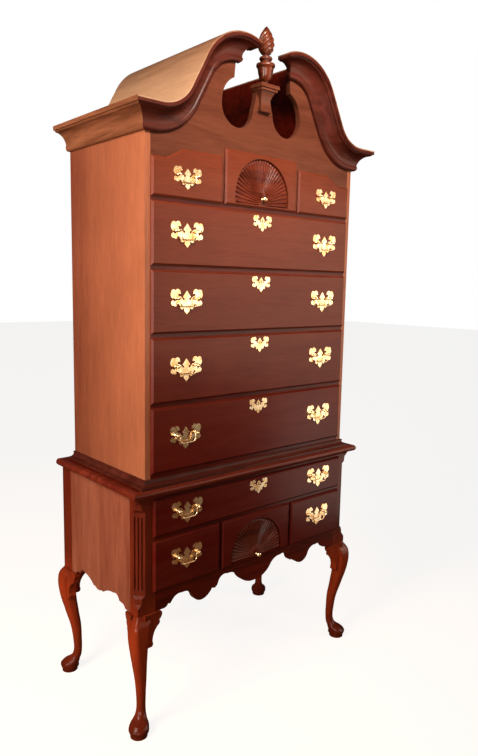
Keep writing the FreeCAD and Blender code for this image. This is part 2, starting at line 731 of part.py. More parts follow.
def leg_section(z, along, half, corner_x, corner_y, outward_y):
    """A rounded square with a corner pointing outwards along the diagonal."""
    roundness = 0.06 if z > 390.0 else min(0.42, 0.18 + (372.0 - z) * 0.0016) if z > 60.0 else 0.47
    side = half / (math.sqrt(0.5) - (math.sqrt(2) - 1) * roundness)
    radius = side * roundness
    cx = corner_x + along * math.sqrt(0.5)
    cy = corner_y + outward_y * along * math.sqrt(0.5)
    h = side / 2
    q = radius * (1 - math.sqrt(0.5))
    place = in_plan(z)
    steps = [
        (cx + h - radius, cy - h), ((cx + h - q, cy - h + q), (cx + h, cy - h + radius)),
        (cx + h, cy + h - radius), ((cx + h - q, cy + h - q), (cx + h - radius, cy + h)),
        (cx - h + radius, cy + h), ((cx - h + q, cy + h - q), (cx - h, cy + h - radius)),
        (cx - h, cy - h + radius), ((cx - h + q, cy - h + q), (cx - h + radius, cy - h)),
    ]
    return wire(place, (cx - h + radius, cy - h), steps, closed=False)


def cabriole(corner_y, outward_y):
    """The right-hand curved leg under one corner, with its club foot and pad."""
    sections = [leg_section(*section, LOWER_HALF, corner_y, outward_y) for section in LEG_SECTIONS]
    curved = Part.makeLoft(sections, True, False)
    middle = -FOOT_INSET * math.sqrt(0.5)
    pad = Part.makeCylinder(FOOT_PAD_RADIUS, FOOT_PAD,
                            Vector(LOWER_HALF + middle, corner_y + outward_y * middle, 0))
    return curved, pad


def post_top():
    """Posts end under the table's moulding."""
    return TABLE_TOP - TABLE_THICK


def front_leg():
    """Right front leg: one length of wood, post and cabriole, with a fluted chamfered corner."""
    post = box(POST_INNER, LOWER_HALF, LOWER_FRONT, LOWER_FRONT + FRONT_POST_DEPTH, KNEE_TOP, post_top())
    stop_low, stop_high = CHAMFER_LOW, CHAMFER_HIGH

    def notch(z, size):
        corner = lambda p: Vector(LOWER_HALF + p[0], LOWER_FRONT + p[1], z)
        return wire(corner, (1.0, size), [(1.0, -1.0), (-size, -1.0)])

    cut = Part.Face(notch(stop_low, CHAMFER)).extrude(Vector(0, 0, stop_high - stop_low))
    for stop, way in ((stop_low, -1.0), (stop_high, 1.0)):
        tongue = CHAMFER * TONGUE
        ledge = stop + way * TONGUE_LEDGE
        turn = stop + way * CHAMFER_RUN * 0.65
        tip = stop + way * CHAMFER_RUN
        for z0, size0, z1, size1 in ((stop, CHAMFER, ledge, tongue), (ledge, tongue, turn, tongue - 2.0),
                                     (turn, tongue - 2.0, tip, -0.5)):
            cut = cut.fuse(Part.makeLoft([notch(z0, size0), notch(z1, size1)], True, True))
    middle = CHAMFER / 2
    pitch = CHAMFER * math.sqrt(2) / (FLUTE_COUNT + 0.6)
    for index in range(FLUTE_COUNT):
        shift = (index - (FLUTE_COUNT - 1) / 2) * pitch * math.sqrt(0.5)
        x = LOWER_HALF - middle - shift
        y = LOWER_FRONT + middle - shift
        low, high = stop_low + FLUTE_INSET, stop_high - FLUTE_INSET
        flute = Part.makeCylinder(FLUTE_RADIUS, high - low, Vector(x, y, low))
        ends = [Part.makeSphere(FLUTE_RADIUS, Vector(x, y, end)) for end in (low, high)]
        cut = cut.fuse([flute] + ends)
    curved, pad = cabriole(LOWER_FRONT, -1.0)
    return post.cut(cut).fuse([curved, pad]).removeSplitter()


def back_leg():
    """Right back leg, with a plain post."""
    post = box(POST_INNER, LOWER_HALF, LOWER_BACK - BACK_POST_DEPTH, LOWER_BACK, KNEE_TOP, post_top())
    curved, pad = cabriole(LOWER_BACK, 1.0)
    return post.fuse([curved, pad]).removeSplitter()


def knee_block(leg, corner_y, outward_y, along_front):
    """A scrolled block glued between knee and apron, hollowed to the leg."""
    drop = KNEE_BLOCK_DROP
    post_depth = FRONT_POST_DEPTH if outward_y < 0 else BACK_POST_DEPTH
    reach = (POST_WIDTH if along_front else post_depth) + KNEE_BLOCK_BEYOND
    root = KNEE_BLOCK_ROOT
    proud = KNEE_BLOCK_PROUD
    inside = -BOARD
    outline = [
        (reach - 16.0, 0.0),
        ((reach - 3.0, -4.0), (reach, -13.0)),
        ((reach - 4.0, -22.0), (reach - 12.0, -29.0)),
        ((reach - 10.0, -38.0), (reach - 16.0, -44.0)),
        ((reach - 33.0, -62.0), (reach - 39.0, -92.0)),
        ((reach - 37.0, -100.0), (reach - 42.0, -drop)),
        (root, -drop),
    ]
    plan = [(reach, proud * 0.2), (reach, inside), (root, inside)]
    lean = [(inside, 0.0), (inside, -drop), (KNEE_BLOCK_FOOT, -drop)]
    if along_front:
        upright = lambda p: Vector(LOWER_HALF - p[0], corner_y + outward_y * proud, KNEE_TOP + p[1])
        level = lambda p: Vector(LOWER_HALF - p[0], corner_y + outward_y * p[1], KNEE_TOP - drop)
        endways = lambda p: Vector(LOWER_HALF - root, corner_y + outward_y * p[0], KNEE_TOP + p[1])
        run = Vector(0, outward_y * (inside - proud), 0)
        away = Vector(root - reach, 0, 0)
    else:
        upright = lambda p: Vector(LOWER_HALF + proud, corner_y - outward_y * p[0], KNEE_TOP + p[1])
        level = lambda p: Vector(LOWER_HALF + p[1], corner_y - outward_y * p[0], KNEE_TOP - drop)
        endways = lambda p: Vector(LOWER_HALF + p[0], corner_y - outward_y * root, KNEE_TOP + p[1])
        run = Vector(inside - proud, 0, 0)
        away = Vector(0, -outward_y * (reach - root), 0)
    block = prism(upright, (root, 0.0), outline, run)
    block = block.common(prism(level, (root, proud), plan, Vector(0, 0, drop)))
    block = block.common(prism(endways, (proud, 0.0), lean, away))
    return block.cut(leg)


# ---------------------------------------------------------------- lower case
def front_apron():
    """The scalloped rail under row 7, drawn in shares of the half span and of the scallops' rise."""
    top = ROWS[7][0] + LIP_OVERLAP
    at = lambda across, up: (POST_INNER * across, KNEE_TOP + APRON_RISE * up)
    outline = [
        at(0.034, -0.475),
        (at(0.096, -0.30), at(0.178, 0.35)), (at(0.231, 0.875), at(0.299, 1.0)),
        (at(0.361, 0.975), at(0.393, 0.60)), (at(0.405, 0.325), at(0.429, 0.125)),
        at(0.458, 0.213),
        (at(0.492, -0.175), at(0.545, -0.438)), (at(0.607, -0.35), at(0.651, 0.175)),
        (at(0.694, 0.675), at(0.752, 0.763)), (at(0.810, 0.725), at(0.843, 0.45)),
        at(0.863, 0.20),
        at(0.882, 0.263),
        (at(0.901, 0.05), at(0.930, 0.0)),
        at(1.0, 0.0),
        (POST_INNER, top), (0.0, top),
    ]
    right = front_prism(at(0.0, -0.475), outline, LOWER_FRONT, LOWER_FRONT + BOARD)
    return right.fuse(mirrored(right)).removeSplitter()


def lower_side():
    """The right side board of the lower case, with its shaped lower edge."""
    middle = (LOWER_FRONT + LOWER_BACK) / 2
    place = in_side(LOWER_HALF - BOARD)
    halves = []
    for end in (LOWER_FRONT + FRONT_POST_DEPTH, LOWER_BACK - BACK_POST_DEPTH):
        at = lambda across, up: (middle + (end - middle) * across, KNEE_TOP + APRON_RISE * up)
        outline = [
            at(0.04, -0.025),
            (at(0.07, 0.03), at(0.11, 0.10)),
            at(0.17, 0.10),
            (at(0.35, 0.53), at(0.50, 0.65)), (at(0.62, 0.65), at(0.67, 0.33)),
            at(0.74, 0.30),
            (at(0.80, 0.25), at(0.85, 0.0)),
            at(1.0, 0.0),
            (end, post_top()), (middle, post_top()),
        ]
        halves.append(prism(place, at(0.0, -0.025), outline, Vector(BOARD, 0, 0)))
    return halves[0].fuse(halves[1]).removeSplitter()


def opening(row, top_of=None):
    """Bottom and top of the opening behind a row of lips."""
    low, high = ROWS[row]
    return low + LIP_OVERLAP, (high if top_of is None else top_of) - LIP_OVERLAP


def lower_rails():
    """Rails over, between and beside the lower case's drawers."""
    y0, y1 = LOWER_FRONT, LOWER_FRONT + BOARD
    top_rail = box(-POST_INNER, POST_INNER, y0, y1, opening(6)[1], post_top())
    middle_rail = box(-POST_INNER, POST_INNER, y0, y1, opening(7)[1], opening(6)[0])
    divider = box(CENTRE_HALF - LIP_OVERLAP, SIDE_INNER + LIP_OVERLAP, y0, y1, opening(7)[0], opening(7)[1])
    return [top_rail, middle_rail] + pair(divider)


def runners(rows, case_face, inner_half, back):
    """Bearers under each drawer's edges, and a guide strip between the small ones."""
    pieces = []
    y0 = case_face + BOARD
    thick = RUNNER_THICK
    for row in rows:
        top = ROWS[row][0] + LIP_OVERLAP + CORE_CLEARANCE - TOUCH_GAP
        pieces += pair(box(OPENING_HALF - RUNNER_REACH, inner_half, y0, back, top - thick, top))
        if row in (1, 7):
            x0 = CENTRE_HALF - LIP_OVERLAP - RUNNER_REACH
            x1 = SIDE_INNER + LIP_OVERLAP + RUNNER_REACH
            pieces += pair(box(x0, x1, y0, back, top - thick, top))
            guide_x0 = CENTRE_HALF - LIP_OVERLAP + CORE_CLEARANCE
            guide_x1 = SIDE_INNER + LIP_OVERLAP - CORE_CLEARANCE
            pieces += pair(box(guide_x0, guide_x1, y0, back, top, top + GUIDE_TALL))
    return pieces


def lower_case():
    """Everything of the lower case but its drawers."""
    legs = {"front": front_leg(), "back": back_leg()}
    save("front_legs", group(pair(legs["front"])))
    save("back_legs", group(pair(legs["back"])))
    blocks = []
    for leg, corner_y, outward_y in ((legs["front"], LOWER_FRONT, -1.0), (legs["back"], LOWER_BACK, 1.0)):
        for along_front in (True, False):
            blocks += pair(knee_block(leg, corner_y, outward_y, along_front))
    save("knee_blocks", group(blocks))
    save("lower_sides", group(pair(lower_side())))
    back_foot = KNEE_TOP + BACK_RAISED
    save("lower_back", box(-POST_INNER, POST_INNER, LOWER_INSIDE_BACK, LOWER_BACK, back_foot, post_top()))
    save("front_apron", front_apron())
    save("lower_rails", group(lower_rails()))
    save("lower_runners", group(runners((6, 7), LOWER_FRONT, POST_INNER, LOWER_INSIDE_BACK)))
    save("lower_top", box(-LOWER_HALF, LOWER_HALF, LOWER_FRONT, LOWER_BACK, post_top(), TABLE_TOP))
    waist = mitred_frame(table_profile(), LOWER_HALF, LOWER_FRONT, LOWER_BACK, TABLE_TOP, TABLE_REACH)
    save("waist_moulding", group(waist))


# ---------------------------------------------------------------- upper case
def upper_rails():
    """The rails between the rows of drawers and the stiles beside them."""
    pieces = []
    lows = [CASE_BASE] + [opening(row)[1] for row in (5, 4, 3, 2)]
    highs = [opening(row)[0] for row in (5, 4, 3, 2, 1)]
    for z0, z1 in zip(lows, highs):
        pieces.append(box(-INNER_HALF, INNER_HALF, 0, BOARD, z0, z1))
    for row in (2, 3, 4, 5):
        z0, z1 = opening(row)
        pieces += pair(box(OPENING_HALF, INNER_HALF, 0, BOARD, z0, z1))
    return pieces


def scroll_board():
    """The front board round row 1 and up into the two scrolls, with its round cut-outs."""
    z0 = opening(1)[0]
    hx, hz = from_scroll_centre(-HOLE_IN, -HOLE_DOWN)
    quarter = HOLE_RADIUS * math.sqrt(0.5)
    board_top = CORNICE_TOP - SHEET
    outline = [(INNER_HALF, z0), (INNER_HALF, board_top), (SCROLL_TURN_X, board_top)]
    board_end = scroll_centre()[0] - TIP_IN
    outline += scroll_steps(SHEET, sheet_angle(board_end, SHEET))
    outline += [
        from_scroll_centre(-TIP_IN, TIP_UP), from_scroll_centre(CUSP_OUT, CUSP_UP),
        ((hx + HOLE_RADIUS * 0.84, hz + HOLE_RADIUS * 0.76), (hx + HOLE_RADIUS, hz + HOLE_RADIUS * 0.19)),
        ((hx + quarter, hz - quarter), (hx, hz - HOLE_RADIUS)),
        ((hx - quarter, hz - quarter), (hx - HOLE_RADIUS, hz)),
        ((NECK_HALF * 1.07, (hz + NECK_TOP) / 2), (NECK_HALF, NECK_TOP)), (0.0, NECK_TOP),
    ]
    right = front_prism((0.0, z0), outline, 0, BOARD)
    centre = plain_outline(-CENTRE_HALF, CENTRE_HALF, *ROWS[1])(LIP_OVERLAP)
    side = ogee_outline(ROWS[1][0])(LIP_OVERLAP)
    for start, steps in (centre, side):
        right = right.cut(front_prism(start, steps, -1, BOARD + 1))
    return right.fuse(mirrored(right)).removeSplitter()


def sheet_angle(x, inset):
    """Angle on the scroll's upper arc at which it stands over x."""
    return math.degrees(math.asin((x - scroll_centre()[0]) / (SCROLL_HIGH_RADIUS - inset)))


def sheet_run(side, last, last_inner, y0, y1):
    """The bent sheet between an x beyond the turn and an angle on the upper arc."""
    start = (side, CORNICE_TOP)
    outer = [(SCROLL_TURN_X, CORNICE_TOP)] + scroll_steps(0, last)
    back_steps = [
        high_arc(last_inner, SHEET),
        (high_arc((SCROLL_SLOPE + last_inner) / 2, SHEET), high_arc(SCROLL_SLOPE, SHEET)),
        low_arc(SCROLL_SLOPE, SHEET),
        (low_arc(SCROLL_SLOPE / 2, SHEET), (SCROLL_TURN_X, CORNICE_TOP - SHEET)),
        (side, CORNICE_TOP - SHEET),
    ]
    return front_prism(start, outer + back_steps, y0, y1)


def bonnet_sheet():
    """One bent sheet: over the right scroll's board and moulding, and on back to the wall."""
    corner = HALF + CORNICE_REACH
    last = -SCROLL_OVERRUN
    over_scroll = sheet_run(corner, last, last, SHEET_SETBACK - CORNICE_REACH, BOARD)
    over_scroll = over_scroll.cut(beyond_scroll_end(-2 * CORNICE_REACH, 2 * BOARD))
    return_plan = [(corner, -CORNICE_REACH), (corner, 2 * BOARD), (HALF, 2 * BOARD)]
    over_return = prism(in_plan(CORNICE_TOP - 2 * SHEET), (HALF, 0), return_plan, Vector(0, 0, 4 * SHEET))
    board_end = scroll_centre()[0] - TIP_IN
    past_board = box(0, board_end, 0, 2 * BOARD, CORNICE_TOP, FINIAL_HEIGHT + NECK_TOP)
    over_scroll = over_scroll.cut(over_return).cut(past_board)
    top_end = sheet_angle(BONNET_INNER, 0)
    under_end = sheet_angle(BONNET_INNER, SHEET)
    behind = sheet_run(HALF, top_end, under_end, BOARD, UPPER_DEPTH)
    return over_scroll.fuse(behind).removeSplitter()


def bonnet_wall():
    """The upright board that closes the right bonnet towards the middle, under the sheet's edge."""
    foot = CEILING_Z + BOARD
    inner, middle, outer = [high_arc(sheet_angle(BONNET_INNER + step * BONNET_WALL, SHEET), SHEET)
                            for step in (0.0, 0.5, 1.0)]
    edges = [(outer[0], foot), outer, (middle, inner)]
    return front_prism((inner[0], foot), edges, BOARD, UPPER_INSIDE_BACK)


def upper_back():
    """The back panel, whose top follows the bonnet on each side of the open middle."""
    x, z = scroll_centre()
    last = math.degrees(math.asin((BONNET_INNER - x) / (SCROLL_HIGH_RADIUS - SHEET)))
    middle_top = CORNICE_TOP - CORNICE_DROP + 40.0
    panel_top = CORNICE_TOP - SHEET
    outline = [(INNER_HALF, CASE_BASE), (INNER_HALF, panel_top), (SCROLL_TURN_X, panel_top)]
    outline += scroll_steps(SHEET, last)
    outline += [(BONNET_INNER, middle_top), (0.0, middle_top)]
    right = front_prism((0.0, CASE_BASE), outline, UPPER_INSIDE_BACK, UPPER_DEPTH)
    return right.fuse(mirrored(right)).removeSplitter()


def plinth():
    """The keystone block that carries the finial: foot, waisted body and stepped cap."""
    cap = PLINTH_CAP / 2
    foot = PLINTH_FOOT / 2
    z_cap = NECK_TOP
    z_foot = PLINTH_FOOT_Z + PLINTH_FOOT_TALL
    step = PLINTH_STEP
    top = box(-cap, cap, -PLINTH_CAP_PROUD, BOARD, z_cap + PLINTH_CAP_TALL * 0.4, z_cap + PLINTH_CAP_TALL)
    under = box(-cap + step, cap - step, -PLINTH_CAP_PROUD + step, BOARD, z_cap, z_cap + PLINTH_CAP_TALL * 0.4)
    waist = foot - 5.0
    shoulder = cap - 2 * step
    mid = (z_cap + z_foot) / 2
    side_view = front_prism((-waist, z_foot), [(waist, z_foot), ((waist + 2.0, mid), (shoulder, z_cap)),
                            (-shoulder, z_cap), ((-waist - 2.0, mid), (-waist, z_foot))],
                            -PLINTH_CAP_PROUD, 0)
    deep = PLINTH_CAP_PROUD - 2 * step
    shallow = PLINTH_FOOT_PROUD - PLINTH_STEP
    end_view = prism(in_side(-cap), (0.0, z_foot),
                     [(-shallow, z_foot), ((-shallow - 3.0, mid), (-deep, z_cap)), (0.0, z_cap)],
                     Vector(2 * cap, 0, 0))
    base = box(-foot, foot, -PLINTH_FOOT_PROUD, 0, PLINTH_FOOT_Z, z_foot)
    return side_view.common(end_view).fuse([top, under, base]).removeSplitter()


def finial():
    """A turned urn and flame on the plinth."""
    h = FINIAL_HEIGHT / 176.0
    rim, flame = FINIAL_RIM, FLAME_RADIUS
    profile = [
        (0.0, 0.0), (12.0, 0.0), (12.0, 3.0 * h),
        ((8.5, 5.0 * h), (7.0, 8.0 * h)),
        ((rim * 0.59, 18.0 * h), (rim * 0.78, 34.0 * h)),
        ((rim * 0.86, 44.0 * h), (rim * 0.88, 54.0 * h)),
        (rim, 55.0 * h),
        ((rim + 0.8, 59.5 * h), (rim - 0.5, 64.0 * h)),
        ((rim * 0.69, 66.5 * h), (14.0, 72.0 * h)),
        (14.0, 74.5 * h), (19.0, 75.5 * h),
        ((20.5, 80.0 * h), (18.5, 84.5 * h)),
        (9.0, 86.5 * h),
        ((8.5, 88.5 * h), (9.5, 91.0 * h)),
        ((flame * 0.80, 105.0 * h), (flame, 126.0 * h)),
        ((flame * 0.89, 150.0 * h), (flame * 0.37, 171.0 * h)),
        ((flame * 0.22, 174.5 * h), (0.0, FINIAL_HEIGHT)),
    ]
    y = (BOARD - PLINTH_CAP_PROUD) / 2
    return turned_upward(profile, Vector(0, y, NECK_TOP + PLINTH_CAP_TALL))


def upper_case():
    """Everything of the upper case but its drawers."""
    side = box(INNER_HALF, HALF, 0, UPPER_DEPTH, CASE_BASE, CORNICE_TOP - SHEET)
    save("upper_side_right", side)
    save("upper_side_left", mirrored(side))
    save("upper_back", upper_back())
    floor_board = box(-INNER_HALF, INNER_HALF, BOARD, UPPER_INSIDE_BACK, CASE_BASE, CASE_BASE + BOARD)
    ceiling = box(-INNER_HALF, INNER_HALF, BOARD, UPPER_INSIDE_BACK, CEILING_Z, CEILING_Z + BOARD)
    save("upper_boards", group([floor_board, ceiling]))
    save("upper_rails", group(upper_rails()))
    save("upper_runners", group(runners((1, 2, 3, 4, 5), 0.0, INNER_HALF, UPPER_INSIDE_BACK)))
    foot = mitred_frame(base_profile(), HALF, 0.0, UPPER_DEPTH, CASE_BASE + BASE_HEIGHT, BASE_REACH)
    save("base_moulding", group(foot))
    save("scroll_board", scroll_board())
    save("scroll_mouldings", group(pair(scroll_moulding())))
    save("cornice_returns", group(pair(cornice_return())))
    save("bonnet_sheets", group(pair(bonnet_sheet())))
    save("bonnet_walls", group(pair(bonnet_wall())))
    save("plinth", plinth())
    save("finial", finial())


os.makedirs("parts", exist_ok=True)
lower_case()
upper_case()
for drawer in all_drawers():
    make_drawer(*drawer)
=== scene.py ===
import math

import bpy
import numpy as np
from mathutils import Matrix, Vector


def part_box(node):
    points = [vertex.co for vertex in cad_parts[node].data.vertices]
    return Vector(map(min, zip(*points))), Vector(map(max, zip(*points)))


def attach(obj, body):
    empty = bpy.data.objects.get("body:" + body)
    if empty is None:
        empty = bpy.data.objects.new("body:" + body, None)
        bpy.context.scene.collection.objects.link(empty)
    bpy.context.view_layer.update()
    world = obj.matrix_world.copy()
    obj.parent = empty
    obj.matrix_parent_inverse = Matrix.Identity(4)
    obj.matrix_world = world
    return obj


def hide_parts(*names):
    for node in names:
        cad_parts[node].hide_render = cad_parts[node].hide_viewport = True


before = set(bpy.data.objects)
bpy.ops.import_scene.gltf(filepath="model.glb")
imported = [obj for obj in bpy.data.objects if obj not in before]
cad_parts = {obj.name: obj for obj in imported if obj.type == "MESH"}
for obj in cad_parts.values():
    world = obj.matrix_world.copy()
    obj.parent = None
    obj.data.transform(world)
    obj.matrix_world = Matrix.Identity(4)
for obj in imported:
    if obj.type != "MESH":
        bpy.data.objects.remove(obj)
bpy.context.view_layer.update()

# ---------------------------------------------------------------------------------------------
# Sides of both cases.  Solid cherry boards about 120 mm wide, glued up edge to edge with their
# grain upright, stained a warm red-brown and sprayed with a rubbed semi-gloss lacquer.  The
# upper case's are painted lighter and more orange towards their front edges, as painted light.


def srgb(code):
    """A hex colour as linear red, green, blue and alpha."""
    value = np.array([int(code[i:i + 2], 16) for i in (1, 3, 5)]) / 255
    linear = np.where(value < 0.04045, value / 12.92, ((value + 0.055) / 1.055) ** 2.4)
    return (*linear, 1.0)


def node(tree, kind, feeds, **settings):
    """Adds one shader node, sets its properties, and feeds its inputs with numbers or outputs."""
    made = tree.nodes.new("ShaderNode" + kind)
    for name, value in settings.items():
        setattr(made, name, value)
    for name, value in feeds.items():
        if isinstance(value, bpy.types.NodeSocket):
            tree.links.new(value, made.inputs[name])
        else:
            made.inputs[name].default_value = value
    return made


def cherry(name, grain, dark, light, plank=0.0, gloss=0.28, figure=45.0, wavy=1.2, calm=0.17,
           painted_light=None):
    """Stained cherry under lacquer.

    grain is the axis the fibres run along.  The figure is noise, figure mm across the grain and
    nine times that along it, bent by its own waviness, and the larger calm is, the less it
    contrasts.  It sets the stain between dark and light.  Pores are streaks 2 mm apart and 60 mm
    long that darken the stain, drawn coarse because real ones would be too fine to show, and
    clouds 220 mm wide shade it a little.  plank is the width in mm, across Y, of glued boards,
    each with a tone of its own.  The last argument paints light and shade: it names an axis and
    one or two pairs of places along it, in m, and from the first to the second of a pair the
    stain is painted from dark to light, as painted shade and painted light, and the darker of
    two pairs holds.  The lacquer is a thin coat, smoother than the wood under it.
    """
    pore_apart = 2.0
    cloud_wide = 220.0
    plank_share = 0.35
    painted_light_share = 0.65
    figure_squeeze = [1 / 9 if axis == grain else 1.0 for axis in "XYZ"]
    pore_squeeze = [1 / 30 if axis == grain else 1.0 for axis in "XYZ"]

    material = bpy.data.materials.new(name)
    material.use_nodes = True
    tree = material.node_tree
    shader = tree.nodes["Principled BSDF"]
    place = node(tree, "TexCoord", {}).outputs["Object"]
    along = node(tree, "SeparateXYZ", {"Vector": place}).outputs

    drawn = node(tree, "Mapping", {"Vector": place, "Scale": figure_squeeze}).outputs["Vector"]
    bands = node(tree, "TexNoise", {"Vector": drawn, "Scale": 1000 / figure, "Detail": 3,
                                    "Roughness": 0.6, "Distortion": wavy}).outputs["Fac"]
    drawn = node(tree, "Mapping", {"Vector": place, "Scale": pore_squeeze}).outputs["Vector"]
    pores = node(tree, "TexNoise", {"Vector": drawn, "Scale": 1000 / pore_apart,
                                    "Detail": 2}).outputs["Fac"]
    cloud = node(tree, "TexNoise", {"Vector": place, "Scale": 1000 / cloud_wide,
                                    "Detail": 2}).outputs["Fac"]

    tone = node(tree, "MapRange", {"Value": bands, "From Min": 0.5 - calm,
                                   "From Max": 0.5 + calm}).outputs["Result"]
    if plank:
        board = node(tree, "Math", {0: along["Y"], 1: plank / 1000}, operation="DIVIDE").outputs[0]
        board = node(tree, "Math", {0: board}, operation="FLOOR").outputs[0]
        own = node(tree, "TexWhiteNoise", {"W": board}, noise_dimensions="1D").outputs["Value"]
        tone = node(tree, "Mix", {"Factor": plank_share, "A": tone, "B": own}).outputs["Result"]
    # Painted light and shade: the stain is made lighter and darker along one axis.
    if painted_light:
        axis, *pairs = painted_light
        pale = 1.0
        for begin, end in pairs:
            paler = node(tree, "MapRange", {"Value": along[axis], "From Min": begin,
                                            "From Max": end}).outputs["Result"]
            pale = node(tree, "Math", {0: pale, 1: paler}, operation="MINIMUM").outputs[0]
        tone = node(tree, "Mix", {"Factor": painted_light_share, "A": tone, "B": pale}).outputs["Result"]

    stain = node(tree, "Mix", {"Factor": tone, "A": srgb(dark), "B": srgb(light)},
                 data_type="RGBA").outputs[2]
    pore_shade = node(tree, "MapRange", {"Value": pores, "From Min": 0.35, "From Max": 0.62,
                                         "To Min": 0.80, "To Max": 1.0}).outputs["Result"]
    cloud_shade = node(tree, "MapRange", {"Value": cloud, "From Min": 0.3, "From Max": 0.7,
                                          "To Min": 0.9, "To Max": 1.06}).outputs["Result"]
    shade = node(tree, "Math", {0: pore_shade, 1: cloud_shade}, operation="MULTIPLY").outputs[0]
    stain = node(tree, "VectorMath", {0: stain, "Scale": shade}, operation="SCALE").outputs[0]
    tree.links.new(stain, shader.inputs["Base Color"])
    ripple = node(tree, "Bump", {"Height": pores, "Strength": 0.15, "Distance": 0.0001})
    tree.links.new(ripple.outputs["Normal"], shader.inputs["Normal"])
    shader.inputs["Roughness"].default_value = gloss + 0.12
    shader.inputs["Specular IOR Level"].default_value = 0.02
    shader.inputs["Coat Weight"].default_value = 0.28
    shader.inputs["Coat Roughness"].default_value = gloss * 0.8
    return material


def dress(names, material, eased=0.0):
    """Gives CAD pieces their material, and eases their sharp edges by so many mm."""
    for name in names:
        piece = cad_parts[name]
        piece.data.materials.clear()
        piece.data.materials.append(material)
        if eased:
            edges = piece.modifiers.new("eased_edges", "BEVEL")
            edges.width = eased / 1000
            edges.segments = 2
            edges.limit_method = "ANGLE"
            edges.angle_limit = math.radians(38)


side_board = 118.0
# Along Y the upper sides are painted lighter towards the front, as painted light from the window.
side_cherry = cherry("side_cherry", "Z", "#683223", "#AE6848", plank=side_board, figure=28.0,
                     wavy=0.4, calm=0.3, painted_light=("Y", (0.22, -0.25)))
low_side_cherry = cherry("low_side_cherry", "Z", "#682E20", "#AA664D", plank=side_board,
                         figure=40.0, wavy=0.4, calm=0.33)
dress(["upper_side_left", "upper_side_right"], side_cherry, 1.0)
dress(["lower_sides"], low_side_cherry, 1.0)

# ---------------------------------------------------------------------------------------------
# Rails, aprons, scroll board, plinth and mouldings.  Cherry again, with the grain along each
# length and a darker stain.  The cornice's level returns along the sides are painted lighter, as
# painted light from the window, and the waist moulding redder and lighter, as a painted highlight.

rail_cherry = cherry("rail_cherry", "X", "#3C0A03", "#611606", gloss=0.26)
board_cherry = cherry("board_cherry", "X", "#52281A", "#6E3C2A", figure=60.0, calm=0.25)
# The returns' lighter stain is painted light from the window; the same moulding on the front is
# darker.
return_cherry = cherry("return_cherry", "Y", "#5E3622", "#8C563C")
# The waist moulding's redder, lighter stain is a painted highlight along its nose.
waist_highlight_cherry = cherry("waist_highlight_cherry", "X", "#561A10", "#742C1C", gloss=0.2, figure=60.0)
moulding_cherry = cherry("moulding_cherry", "X", "#3C150E", "#56241A", gloss=0.34, figure=60.0)
dress(["front_apron", "lower_rails", "upper_rails", "lower_top"], rail_cherry, 0.6)
dress(["scroll_mouldings", "base_moulding"], moulding_cherry, 0.6)
dress(["waist_moulding"], waist_highlight_cherry, 0.6)
dress(["scroll_board", "plinth"], board_cherry, 0.6)
dress(["cornice_returns"], return_cherry, 0.6)

# ---------------------------------------------------------------------------------------------
# Legs and posts, each sawn from one upright length and shaved to its curve, with glued knee
# blocks of the same wood.  The posts and feet are painted darker and the shafts lighter, as
# painted shade and painted light.

leg_cherry = cherry("leg_cherry", "Z", "#4A180F", "#9E3818", figure=30.0, wavy=0.6, calm=0.3,
                    gloss=0.2, painted_light=("Z", (0.46, 0.32), (0.02, 0.16)))
dress(["front_legs", "back_legs", "knee_blocks"], leg_cherry, 0.8)

# ---------------------------------------------------------------------------------------------
# Bonnet.  Thin sheets bent over the scroll board and the walls behind it, of a paler wood that
# took the stain to a tan, painted darker along the crown and lighter down the slopes, as a
# painted sheen.

bonnet_cherry = cherry("bonnet_cherry", "Y", "#68402A", "#BC9474", gloss=0.35, calm=0.3,
                       painted_light=("Z", (2.1, 1.93)))
dress(["bonnet_sheets"], bonnet_cherry)
dress(["bonnet_walls"], rail_cherry)

# ---------------------------------------------------------------------------------------------
# Backs, dust boards and runners.  Poplar planed but left without stain or lacquer, with the
# backs let in behind the sides and the runners fixed between front and back.

poplar = cherry("poplar", "X", "#8C6C3E", "#B08A5C", gloss=0.55)
poplar.node_tree.nodes["Principled BSDF"].inputs["Coat Weight"].default_value = 0.0
dress(["upper_back", "lower_back", "upper_boards", "upper_runners", "lower_runners"], poplar)

# ---------------------------------------------------------------------------------------------
# Drawers.  Fronts sawn from one board so that the grain runs level along a row, lipped over the
# frame, with poplar boxes behind, here under the same stain.  The upper rows are painted lighter
# and browner, as painted light and sheen.

front_cherry = cherry("front_cherry", "X", "#520000", "#743620", figure=55.0, wavy=1.0, calm=0.3,
                      painted_light=("Z", (0.8, 1.8)))
drawers = [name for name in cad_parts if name.startswith("drawer_")]
dress(drawers, front_cherry)

# ---------------------------------------------------------------------------------------------
# Carved shells.  Two middle drawers have a fan of 31 convex rays cut into a sunk round field,
# spreading from the knob.  Each ray swells towards the rim and ends in a round tip, with a
# narrow moat left between the tips and the edge of the field.


